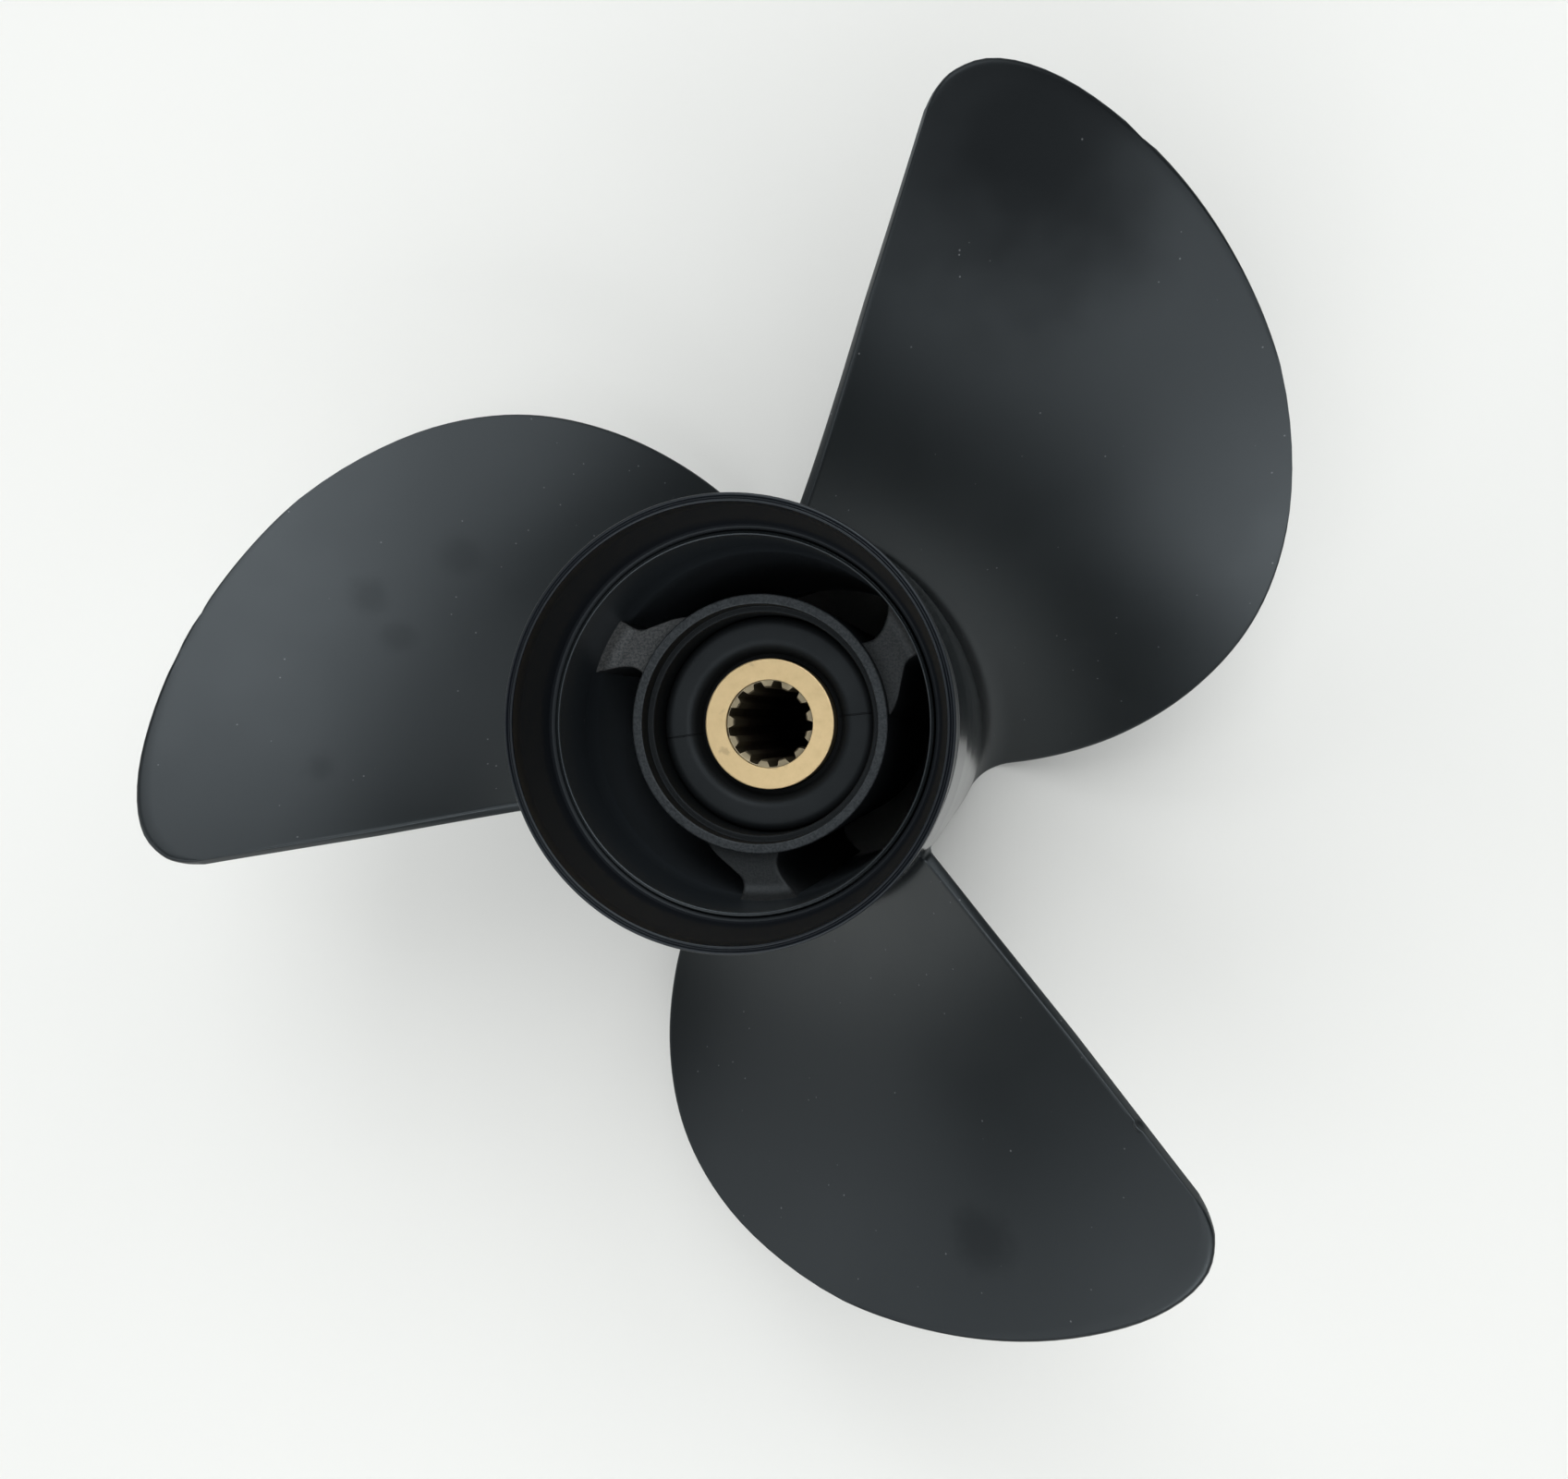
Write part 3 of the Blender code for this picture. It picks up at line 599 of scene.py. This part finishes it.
def add_barrel(paints):
    """Outer tube: crowned outside, narrowing bore, and the spigot that carries the ring."""
    crown = [(float(radius), float(height), CROWN_ROUNDING) for radius, height in barrel_side()[-2:0:-1]]
    profile = rounded_profile([
        (SPIGOT_RADIUS, SPIGOT_END_Z, 0.25 * MM),
        (SPIGOT_RADIUS, BARREL_END_Z, 0.0),
        (BARREL_CROWN[-1][0] * MM, BARREL_END_Z, 0.3 * MM),
    ] + crown + [
        (BARREL_CROWN[0][0] * MM, 0.0, 0.6 * MM),
        (BORE_FRONT_RADIUS, 0.0, 0.6 * MM),
        (BORE_NECK_RADIUS, BORE_NECK_Z, BORE_NECK_ROUNDING),
        (SPIGOT_LIP_RADIUS, BORE_TURNED_Z, 0.5 * MM),
        (SPIGOT_LIP_RADIUS, SPIGOT_END_Z, 0.3 * MM),
    ])
    barrel = turned("barrel_casting", profile, paints)
    # Faces looking at the shaft axis take the paler passage paint, painted fill light in the passages
    for face in barrel.data.polygons:
        face.material_index = 1 if passage_facing(face) else 0
    stands_for(barrel, "casting", "hub_barrel")


def passage_facing(face):
    """Whether a face of the barrel looks at the shaft axis."""
    return face.center.x * face.normal.x + face.center.y * face.normal.y < 0.0


def add_ring(paint):
    """Ring over the spigot, flared towards its grooved rim."""
    low = BARREL_END_Z + SEAM
    seat = SPIGOT_RADIUS + SEAM
    groove = (RIM_RADIUS + RIM_MOUTH_RADIUS) / 2
    profile = rounded_profile([
        (groove + RIM_GROOVE_WIDTH / 2, HUB_LENGTH, 0.2 * MM),
        (RIM_RADIUS, HUB_LENGTH, 0.45 * MM),
        (RIM_RADIUS, RING_FLARE_BACK_Z, 2.0 * MM),
        (RING_RADIUS, RING_FLARE_FRONT_Z, 10.0 * MM),
        (RING_RADIUS, low, 0.2 * MM),
        (seat, low, 0.0),
        (seat, RING_SEAT_END_Z, 0.0),
        (RING_THROAT_RADIUS, RING_SEAT_END_Z + 0.4 * MM, 0.15 * MM),
        (RING_THROAT_RADIUS + 0.4 * MM, RING_SEAT_END_Z + 1.0 * MM, 0.15 * MM),
        (RIM_MOUTH_RADIUS - 0.2 * MM, RING_MOUTH_Z, 2.0 * MM),
        (RIM_MOUTH_RADIUS, HUB_LENGTH, 0.4 * MM),
        (groove - RIM_GROOVE_WIDTH / 2, HUB_LENGTH, 0.2 * MM),
        (groove, HUB_LENGTH - RIM_GROOVE_DEPTH, 0.15 * MM),
    ])
    stands_for(turned("flared_aft_ring", profile, [paint]), "ring", "flared_ring")


def add_inner_hub(paints):
    """Inner tube with the seat of the bush and a shoulder at its front."""
    bore = INNER_HUB_RADIUS - INNER_HUB_WALL
    shoulder_z = INNER_HUB_FRONT_Z + SHOULDER_THICKNESS
    profile = rounded_profile([
        (INNER_HUB_RADIUS, INNER_HUB_END_Z, 0.4 * MM),
        (INNER_HUB_RADIUS, INNER_HUB_FRONT_Z, 0.5 * MM),
        (SHOULDER_RADIUS, INNER_HUB_FRONT_Z, 0.5 * MM),
        (SHOULDER_RADIUS, shoulder_z, 0.5 * MM),
        (BUSH_SEAT_RADIUS, shoulder_z, 0.0),
        (BUSH_SEAT_RADIUS, BUSH_SEAT_END_Z, 0.4 * MM),
        (bore, BUSH_SEAT_END_Z, 0.2 * MM),
        (bore, INNER_HUB_END_Z, 0.4 * MM),
    ])
    tube = turned("inner_hub_casting", profile, paints)
    # Faces inside the tube, the bush seat with its step and shoulder, get the darker seat paint: painted
    # shade inside the tube
    for face in tube.data.polygons:
        in_bore = math.hypot(face.center.x, face.center.y) < bore + 0.1 * MM
        face.material_index = 1 if in_bore else 0
    stands_for(tube, "casting", "inner_hub")


def add_bush(rubber):
    """Rubber round the sleeve, with a narrow hollow beside it at the aft end."""
    outer = BUSH_SEAT_RADIUS - SEAM
    inner = SLEEVE_RADIUS + SEAM
    low = INNER_HUB_FRONT_Z + SHOULDER_THICKNESS + SEAM
    hollow_z = BUSH_END_Z - BUSH_HOLLOW_DEPTH
    profile = rounded_profile([
        (outer, BUSH_END_Z, BUSH_EDGE_RADIUS),
        (outer, low, BUSH_FRONT_EDGE),
        (inner, low, 1.0 * MM),
        (inner, hollow_z, 0.0),
        (inner + BUSH_HOLLOW_WIDTH / 2, hollow_z, 0.8 * MM),
        (inner + BUSH_HOLLOW_WIDTH, BUSH_END_Z, 2.6 * MM),
    ], 8)
    stands_for(turned("pressed_rubber_bush", profile, [rubber]), "rubber", "rubber_bush")


def fillet_offset(above, fillet):
    """How far a fillet stands out from a face at a distance from the wall that it runs into."""
    above = min(max(above, 0.0), fillet)
    return fillet - math.sqrt(fillet ** 2 - (fillet - above) ** 2)


def add_rib(index, paints):
    """Leaning web between the tubes, rounded along its end and filleted up to the barrel."""
    low_side, high_side = smooth_curve(RIB_LOW_SIDE), smooth_curve(RIB_HIGH_SIDE)
    inner = INNER_HUB_RADIUS - 0.4 * MM
    outer = BORE_NECK_RADIUS + 0.4 * MM
    bm = bmesh.new()
    grid = bmesh.ops.create_grid(bm, x_segments=RIB_STEPS, y_segments=RIB_STEPS, size=0.5)
    for vert in grid["verts"]:
        radius = inner + (vert.co.x + 0.5) * (outer - inner)
        share = 0.5 - 0.5 * math.cos(math.pi * (vert.co.y + 0.5))
        low = np.interp(radius / MM, low_side[:, 0], low_side[:, 1])
        high = np.interp(radius / MM, high_side[:, 0], high_side[:, 1])
        turn = math.radians(360.0 / RIB_COUNT * index + low + share * (high - low))
        to_side = min(share, 1.0 - share) * math.radians(high - low) * radius
        rise = fillet_offset(BORE_NECK_RADIUS - radius, RIB_END_FILLET)
        rise -= fillet_offset(to_side, RIB_EDGE)
        vert.co = polar_point(radius, turn, RIB_END_Z + rise)
    walls = bmesh.ops.extrude_face_region(bm, geom=bm.faces[:])
    for vert in walls["geom"]:
        if isinstance(vert, bmesh.types.BMVert):
            vert.co.z = RIB_FRONT_Z
    bmesh.ops.recalc_face_normals(bm, faces=bm.faces)
    rib = finish_mesh(f"rib_web_{index + 1}", bm, paints)
    for face in rib.data.polygons:
        face.material_index = 0 if face.normal.z > RIB_END_FACING else 1
    stands_for(rib, "casting", f"rib_{index + 1}")


def tooth_wall():
    """Turn, and depth from tooth tip to root, of each point round the splined bore."""
    pitch = 2 * math.pi / TOOTH_COUNT
    return [(math.radians(TOOTH_ANGLE) + pitch * (tooth + share), depth)
            for tooth in range(TOOTH_COUNT) for share, depth in TOOTH_SHAPE]


def add_sleeve(brass):
    """Splined sleeve: its wall is drawn ring by ring up the outside and down the toothed bore."""
    wall = tooth_wall()
    mouth_z = SLEEVE_END_Z - MOUTH_DEPTH
    tip = TOOTH_TIP_RADIUS
    rings = (
        (SLEEVE_RADIUS, SLEEVE_FRONT_Z + SLEEVE_EDGE, 0.0),
        (SLEEVE_RADIUS, SLEEVE_END_Z - SLEEVE_EDGE, 0.0),
        (SLEEVE_RADIUS - 0.3 * SLEEVE_EDGE, SLEEVE_END_Z - 0.3 * SLEEVE_EDGE, 0.0),
        (SLEEVE_RADIUS - SLEEVE_EDGE, SLEEVE_END_Z, 0.0),
        (SLEEVE_RADIUS - SLEEVE_EDGE - GUARD, SLEEVE_END_Z, 0.0),
        (MOUTH_RADIUS + MOUTH_EDGE + GUARD, SLEEVE_END_Z, 0.0),
        (MOUTH_RADIUS + MOUTH_EDGE, SLEEVE_END_Z, 0.0),
        (MOUTH_RADIUS, SLEEVE_END_Z - MOUTH_EDGE, 0.0),
        (MOUTH_RADIUS, mouth_z, 0.0),
        (TOOTH_ROOT_RADIUS + 0.05 * MM, mouth_z - 0.05 * MM, 0.0),
        (tip + 0.35 * MM, mouth_z - 0.1 * MM, 1.0),
        (tip, mouth_z - 0.45 * MM, 1.0),
        (tip, SLEEVE_FRONT_Z + SLEEVE_EDGE, 1.0),
        (TOOTH_ROOT_RADIUS + SLEEVE_EDGE, SLEEVE_FRONT_Z, 0.0),
        (SLEEVE_RADIUS - SLEEVE_EDGE, SLEEVE_FRONT_Z, 0.0),
        (SLEEVE_RADIUS, SLEEVE_FRONT_Z + SLEEVE_EDGE, 0.0),
    )

    def ring_place(index, ring):
        radius, height, toothed = ring
        turn, depth = wall[index]
        root = max(TOOTH_ROOT_RADIUS, radius)
        return polar_point(radius + toothed * depth * (root - radius), turn, height)

    bm = bmesh.new()
    verts = bmesh.ops.create_circle(bm, segments=len(wall), radius=1.0)["verts"]
    for index, vert in enumerate(verts):
        vert.co = ring_place(index, rings[0])
    edges = bm.edges[:]
    for ring in rings[1:]:
        order = {tuple(vert.co): index for index, vert in enumerate(verts)}
        drawn = bmesh.ops.extrude_edge_only(bm, edges=edges)["geom"]
        edges = [part for part in drawn if isinstance(part, bmesh.types.BMEdge)]
        fresh = {order[tuple(part.co)]: part for part in drawn if isinstance(part, bmesh.types.BMVert)}
        verts = [fresh[index] for index in range(len(wall))]
        for index, vert in enumerate(verts):
            vert.co = ring_place(index, ring)
    bmesh.ops.remove_doubles(bm, verts=bm.verts, dist=MERGE)
    bmesh.ops.recalc_face_normals(bm, faces=bm.faces)
    stands_for(finish_mesh("brass_splined_sleeve", bm, [brass]), "brass", "splined_sleeve")


def trailing_angle(radius):
    """The trailing edge runs beside the axis, straight in plan but for a slight bow near the hub."""
    inward = max(0.0, (TRAIL_BOW_RADIUS - radius) / (TRAIL_BOW_RADIUS - ROOT_REFERENCE_RADIUS))
    straight = TRAIL_DIRECTION + math.degrees(math.asin(TRAIL_OFFSET / radius))
    return straight - TRAIL_BOW * inward ** TRAIL_BOW_POWER


def blade_outline():
    """Leading edge as angle over radius, and the tip as radius and angle over its length."""
    corner = (TRAIL_END_RADIUS / MM, trailing_angle(TRAIL_END_RADIUS))
    edge = smooth_curve(LEADING_EDGE + TIP_EDGE[1:] + (corner,)) * (MM, 1.0) - (EDGE_INSET, 0.0)
    split = (len(LEADING_EDGE) - 1) * OUTLINE_SAMPLES
    leading = edge[:split + 1]
    tip = edge[split:][::-1]
    turns = np.radians(tip[:, 1])
    flat = np.column_stack([tip[:, 0] * np.cos(turns), tip[:, 0] * np.sin(turns)])
    lengths = np.concatenate([[0.0], np.cumsum(np.linalg.norm(np.diff(flat, axis=0), axis=1))])
    return leading, tip, lengths / lengths[-1]


def blade_place(u, v, outline):
    """Radius and angle at a share u from trailing to leading edge and v from root to tip."""
    leading, tip, shares = outline
    start = BLADE_START_RADIUS
    shoulder = tip[-1, 0]
    rise = max(0.0, (v - TIP_RISE_START) / (1 - TIP_RISE_START)) ** TIP_RISE_POWER

    def radius_at(share):
        return start + v * (shoulder - start) + rise * (np.interp(share, shares, tip[:, 0]) - shoulder)

    tip_angle = np.interp(u, shares, tip[:, 1])
    trail = trailing_angle(radius_at(0.0))
    lead = np.interp(radius_at(1.0), leading[:, 0], leading[:, 1])
    root_trail = trailing_angle(start)
    root_lead = np.interp(start, leading[:, 0], leading[:, 1])
    root_angle = root_trail + u * (root_lead - root_trail)
    trail_bow = trail - (root_trail + v * (tip[0, 1] - root_trail))
    lead_bow = lead - (root_lead + v * (tip[-1, 1] - root_lead))
    return radius_at(u), (1 - v) * root_angle + v * tip_angle + (1 - u) * trail_bow + u * lead_bow


def blade_thickness(radius, u, v):
    """Thickest at the root and in the middle of the blade's width, and thin all round the edge."""
    share = (radius - ROOT_REFERENCE_RADIUS) / (TIP_RADIUS - ROOT_REFERENCE_RADIUS)
    share = min(max(share, 0.0), 1.0)
    middle = TIP_THICKNESS + (ROOT_THICKNESS - TIP_THICKNESS) * (1 - share) ** SPAN_TAPER
    across = (4 * u * (1 - u)) ** CHORD_ROUNDNESS * (1 - v ** TIP_THINNING)
    return 2 * EDGE_RADIUS + (middle - 2 * EDGE_RADIUS) * across


def blade_point(radius, angle, u, v, edge, side):
    """A point of one face of a blade, on the cylinder of its radius."""
    depth, spread, run = edge
    slope = math.atan2(PITCH, 2 * math.pi * radius)
    climb = PITCH * angle / 360.0 + RAKE * (radius - ROOT_REFERENCE_RADIUS)
    above = radius - barrel_radius(ROOT_REFERENCE_Z + climb)
    if side > 0:
        fillet = PRESSURE_FILLET[0] + u * (PRESSURE_FILLET[1] - PRESSURE_FILLET[0])
        out = spread * fillet_offset(above, fillet) - depth
    else:
        fillet = SUCTION_FILLET[0] + u * (SUCTION_FILLET[1] - SUCTION_FILLET[0])
        below = max(blade_thickness(radius, u, v) - depth, depth)
        out = -spread * fillet_offset(above, fillet) - below
    along = run * fillet_offset(above, EDGE_FILLET)
    around = along * math.cos(slope) - out * math.sin(slope)
    height = along * math.sin(slope) + out * math.cos(slope)
    return polar_point(radius, math.radians(angle) + around / radius, ROOT_REFERENCE_Z + climb + height)


def edge_steps(corner):
    """Inset, depth and turn of the points that round a corner of an edge, from its middle out."""
    turns = [math.radians(turn) for turn in CORNER_TURNS]
    return [(corner * (1 - math.cos(turn)), corner * (1 - math.sin(turn)), turn) for turn in turns]


def blade_columns(chord):
    """Share of the chord of each column, and its edge: depth, share of the fillet and run."""
    columns = [(0.0, (EDGE_RADIUS, 0.0, 1.0))]
    for inset, depth, turn in edge_steps(TRAIL_ROUNDING):
        columns.append((inset / chord, (depth, 1.0, math.cos(turn))))
    lead = []
    for inset, depth, turn in edge_steps(EDGE_RADIUS):
        lead.append((1 - inset / chord, (depth, math.sin(turn), -math.cos(turn))))
    low, high = columns[-1][0], lead[-1][0]
    for i in range(1, BLADE_COLUMNS):
        share = i / BLADE_COLUMNS
        share -= COLUMN_CROWDING * math.sin(2 * math.pi * share)
        columns.append((low + (high - low) * share, (0.0, 1.0, 0.0)))
    return columns + lead[::-1]


def blade_rows():
    """Share from root to tip and edge depth of each row."""
    span = TIP_EDGE[0][0] * MM - BLADE_START_RADIUS
    foot = FILLET_START_RADIUS - BLADE_START_RADIUS
    fillet = [(foot + PRESSURE_FILLET[1] * step) / span for step in FILLET_STEPS]
    tip = [(1.0 - inset / span, depth) for inset, depth, _ in edge_steps(EDGE_RADIUS)]
    first, last = fillet[-1], tip[-1][0]
    rows = [(0.0, 0.0)] + [(share, 0.0) for share in fillet]
    rows += [(first + (last - first) * i / BLADE_ROWS, 0.0) for i in range(1, BLADE_ROWS)]
    return rows + tip[::-1]


def blade_bmesh():
    """Two faces laid on cylinder sections, joined along the edges and closed at the root."""
    outline = blade_outline()
    rows = blade_rows()
    columns = len(blade_columns(1.0))
    bm = bmesh.new()
    root_edges = []
    for side in (1.0, -1.0):
        grid = bmesh.ops.create_grid(bm, x_segments=columns - 1, y_segments=len(rows) - 1, size=0.5)
        placed = {}
        for vert in grid["verts"]:
            column = round((vert.co.x + 0.5) * (columns - 1))
            row = round((vert.co.y + 0.5) * (len(rows) - 1))
            placed[column, row] = vert
        for row, (v, tip_depth) in enumerate(rows):
            ends = [blade_place(u, v, outline) for u in (0.0, 1.0)]
            mean_radius = (ends[0][0] + ends[1][0]) / 2
            sweep = math.radians(ends[0][1] - ends[1][1])
            chord = sweep * math.hypot(mean_radius, PITCH / (2 * math.pi))
            for column, (u, (depth, spread, run)) in enumerate(blade_columns(chord)):
                radius, angle = blade_place(u, v, outline)
                edge = (max(depth, tip_depth), spread, run)
                placed[column, row].co = blade_point(radius, angle, u, v, edge, side)
        root_edges += [bm.edges.get((placed[c, 0], placed[c + 1, 0])) for c in range(columns - 1)]
    bmesh.ops.bridge_loops(bm, edges=root_edges)
    bmesh.ops.remove_doubles(bm, verts=bm.verts, dist=MERGE)
    bmesh.ops.recalc_face_normals(bm, faces=bm.faces)
    sliced = bmesh.ops.bisect_plane(bm, geom=bm.verts[:] + bm.edges[:] + bm.faces[:], dist=0.5 * MERGE,
                                    plane_co=(0, 0, 0), plane_no=(0, 0, -1), clear_outer=True)
    rim = [edge for edge in sliced["geom_cut"] if isinstance(edge, bmesh.types.BMEdge)]
    bmesh.ops.edgeloop_fill(bm, edges=rim)
    for vert in bm.verts:
        vert.co.z = max(vert.co.z, 0.0)
    bmesh.ops.recalc_face_normals(bm, faces=bm.faces)
    return bm


def add_nick(bm, radius, angle):
    """Small dent in a blade's edge: the mesh is made finer there and pushed in."""
    height = ROOT_REFERENCE_Z + PITCH * angle / 360.0 + RAKE * (radius - ROOT_REFERENCE_RADIUS)
    place = Vector(polar_point(radius, math.radians(angle), height))
    spot = min((vert.co for vert in bm.verts), key=lambda co: (co - place).length).copy()
    near = [edge for edge in bm.edges
            if all((vert.co - spot).length < NICK_MESH_REACH for vert in edge.verts)]
    bmesh.ops.subdivide_edges(bm, edges=near, cuts=3, use_grid_fill=True)
    inward = Vector((*BLADE_MIDDLE, spot.z)) - spot
    inward.normalize()
    for vert in bm.verts:
        share = (vert.co - spot).length / NICK_REACH
        if share < 1.0:
            vert.co += inward * NICK_DEPTH * (1.0 - share ** 2)


def add_blades(paint):
    """The blades, evenly round the barrel, each with its own nicks."""
    for index in range(BLADE_COUNT):
        bm = blade_bmesh()
        for blade, radius, angle in NICKS:
            if blade == index:
                add_nick(bm, radius * MM, angle)
        bmesh.ops.rotate(bm, verts=bm.verts, cent=(0, 0, 0),
                         matrix=Matrix.Rotation(2 * math.pi / BLADE_COUNT * index, 3, "Z"))
        piece = finish_mesh(f"blade_casting_{index + 1}", bm, [paint], BLADE_SMOOTH_ANGLE)
        stands_for(piece, "casting", f"blade_{index + 1}")


add_camera()
add_surroundings()
add_barrel([
    paint_material("satin_black_paint", PAINT_TONES, BARREL_ROUGHNESS),
    paint_material("passage_fill_light_paint", PASSAGE_FILL_LIGHT_TONES, BLADE_ROUGHNESS, deep_fill_light_tone=PASSAGE_DEEP_FILL_LIGHT_TONE),
])
add_ring(ring_material())
add_inner_hub([
    rough_material("as_cast_hub_paint", HUB_TONES),
    rough_material("bush_seat_shade_paint", SEAT_SHADE_TONES, SEAT_SHINE),
])
add_bush(rubber_material())
rib_side = rough_material("rib_side_paint", RIB_SIDE_TONES)
# Each rib end gets its own copy of the paint, lightened or darkened: painted light and shade
for rib_index, rib_painted_light in enumerate(RIB_PAINTED_LIGHT):
    end_tones = [tuple(rib_painted_light * part for part in tone) for tone in RIB_END_TONES]
    add_rib(rib_index, [rough_material(f"rib_end_light_and_shade_{rib_index + 1}", end_tones), rib_side])
add_sleeve(brass_material())
add_blades(paint_material("handled_black_paint", PAINT_TONES, BLADE_ROUGHNESS, smudged=True))
